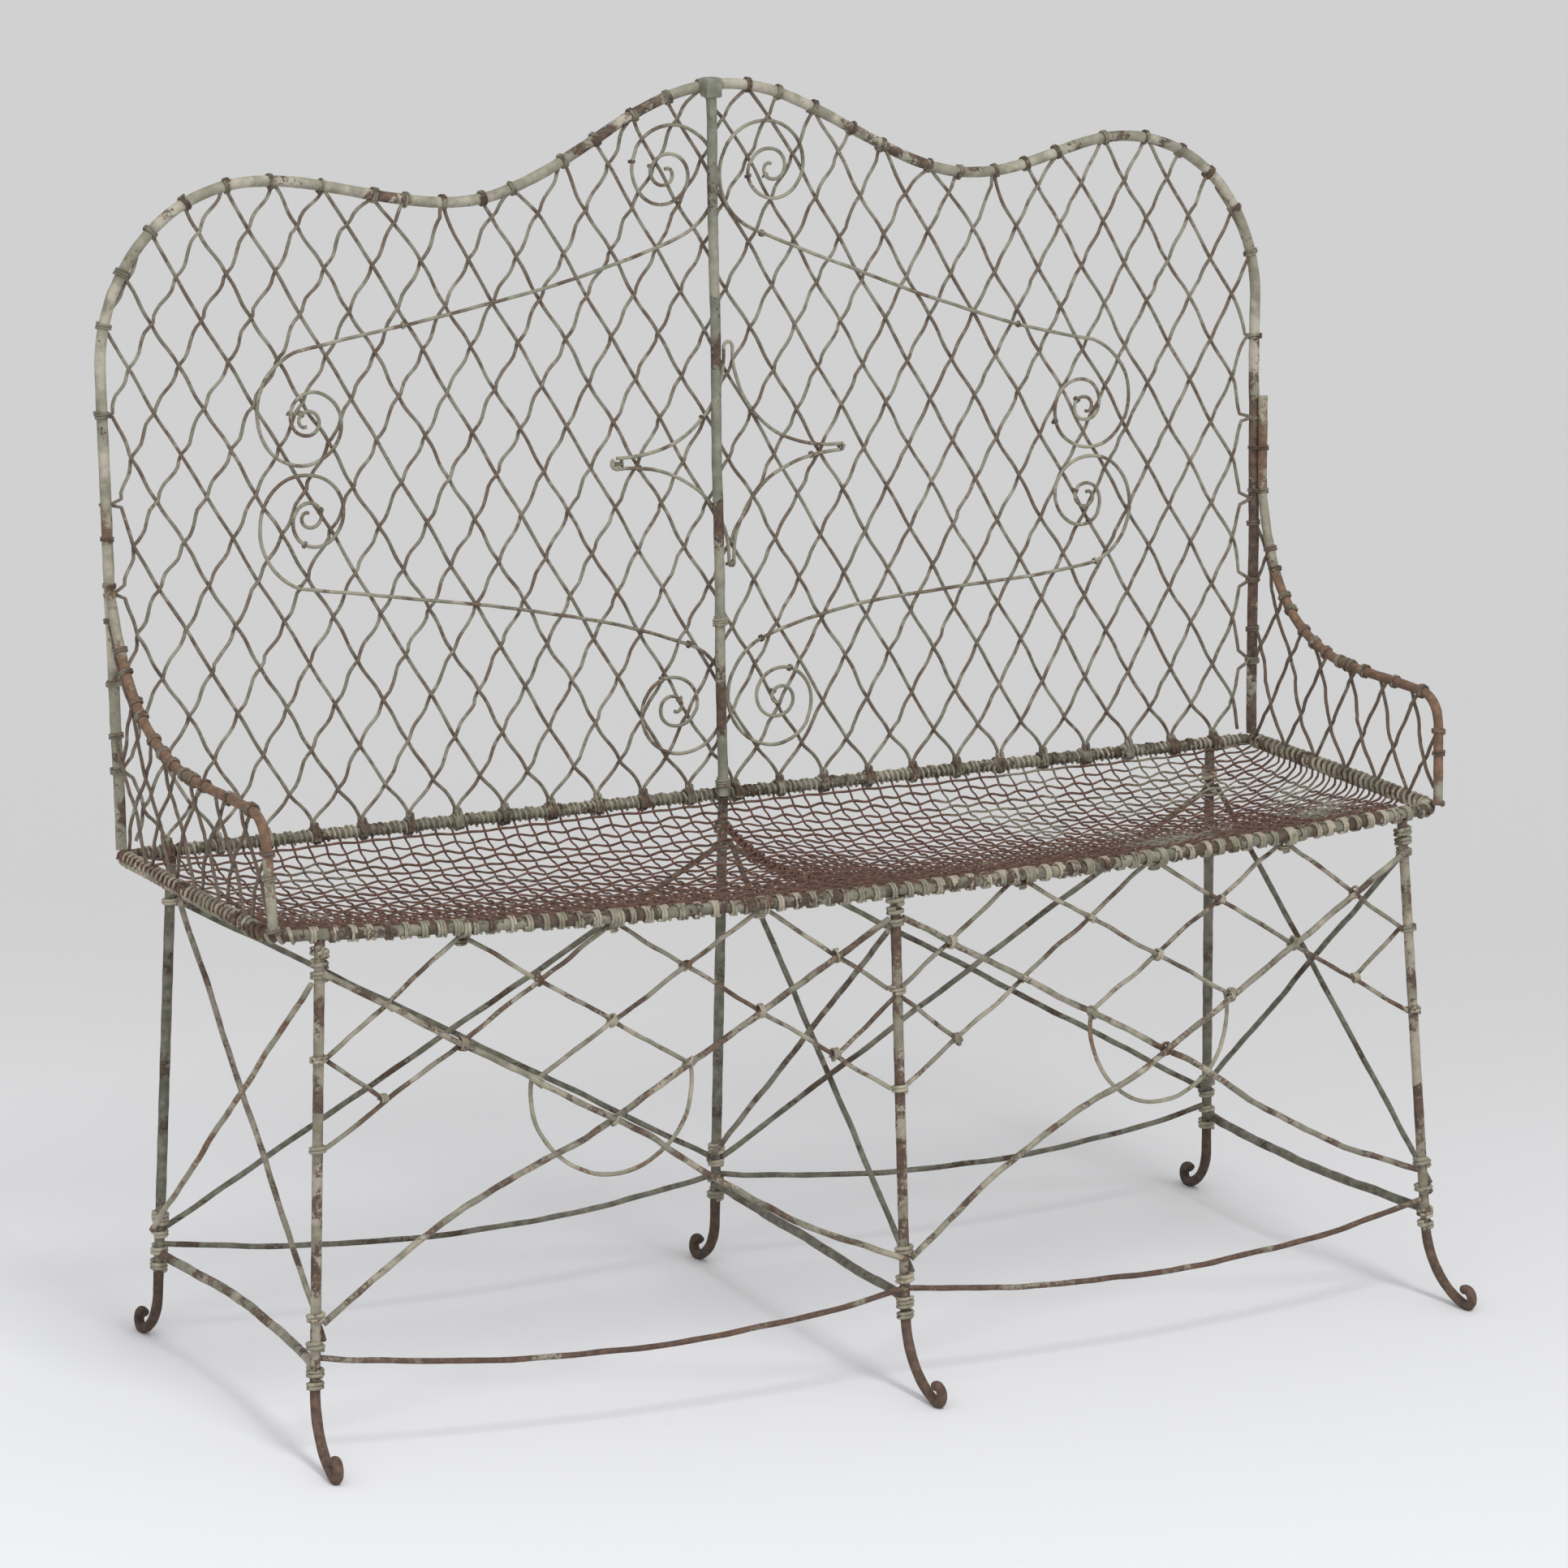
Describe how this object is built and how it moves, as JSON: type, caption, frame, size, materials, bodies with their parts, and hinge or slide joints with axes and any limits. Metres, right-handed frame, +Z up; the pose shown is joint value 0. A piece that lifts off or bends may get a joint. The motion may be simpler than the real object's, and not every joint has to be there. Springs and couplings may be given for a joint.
{
  "type": "garden bench",
  "caption": "Victorian wirework iron garden bench with a woven diamond lattice back, wire mesh seat, low arms and braced legs with curled feet.",
  "frame": {"origin": "on the ground under the middle of the bench: the middle of the bounding box's base", "axes": "+X along the seat to the sitter's left, which is the picture's right; the back is at +Y, so the front faces -Y; +Z up"},
  "size_m": [1.1476, 0.5031, 1.0556],
  "materials": {
    "painted_iron": "weathered and chipped",
    "green_painted_iron": "weathered and chipped",
    "lattice_wire": "weathered and chipped",
    "mesh_wire": "weathered and chipped",
    "rusted_iron": "weathered and chipped",
    "tie_wire": "weathered and chipped"
  },
  "bodies": {
    "root": {"back_rim_rod": "painted_iron", "centre_post": "green_painted_iron", "rear_centre_leg": "green_painted_iron", "post_top_clip": "tie_wire", "back_lattice_rising_wires": "lattice_wire", "back_lattice_falling_wires": "lattice_wire", "upper_left_scroll": "lattice_wire", "upper_right_scroll": "lattice_wire", "lower_left_scroll": "lattice_wire", "lower_right_scroll": "lattice_wire", "centre_star": "lattice_wire", "left_arm_rod": "rusted_iron", "right_arm_rod": "rusted_iron", "left_arm_rising_wires": "lattice_wire", "left_arm_falling_wires": "lattice_wire", "right_arm_rising_wires": "lattice_wire", "right_arm_falling_wires": "lattice_wire", "seat_back_rail": "green_painted_iron", "seat_front_rail": "painted_iron", "seat_left_rail": "painted_iron", "seat_right_rail": "painted_iron", "seat_middle_bearer": "rusted_iron", "seat_mesh_long_wires": "mesh_wire", "seat_mesh_short_wires": "mesh_wire", "front_left_leg": "painted_iron", "front_centre_leg": "painted_iron", "front_right_leg": "painted_iron", "rear_left_leg": "green_painted_iron", "rear_right_leg": "green_painted_iron", "left_side_stay_to_front_foot": "painted_iron", "left_side_stay_to_rear_foot": "painted_iron", "centre_stay_to_front_foot": "painted_iron", "centre_stay_to_rear_foot": "painted_iron", "right_side_stay_to_front_foot": "painted_iron", "right_side_stay_to_rear_foot": "painted_iron", "rear_left_bay_stay_rising": "green_painted_iron", "rear_left_bay_stay_falling": "green_painted_iron", "rear_right_bay_stay_rising": "green_painted_iron", "rear_right_bay_stay_falling": "green_painted_iron", "left_cross_stretcher": "painted_iron", "centre_cross_stretcher": "painted_iron", "right_cross_stretcher": "painted_iron", "front_left_stretcher": "painted_iron", "front_right_stretcher": "painted_iron", "rear_left_stretcher": "green_painted_iron", "rear_right_stretcher": "green_painted_iron", "left_apron_diagonals": "painted_iron", "right_apron_diagonals": "painted_iron", "left_apron_lattice": "painted_iron", "right_apron_lattice": "painted_iron", "left_apron_ring": "rusted_iron", "right_apron_ring": "rusted_iron", "back_rim_ties": "tie_wire", "back_rail_ties": "tie_wire", "arm_ties": "tie_wire", "leg_bindings": "tie_wire", "stay_knots": "tie_wire", "seat_edge_binding": "mesh_wire"}
  },
  "joints": []
}
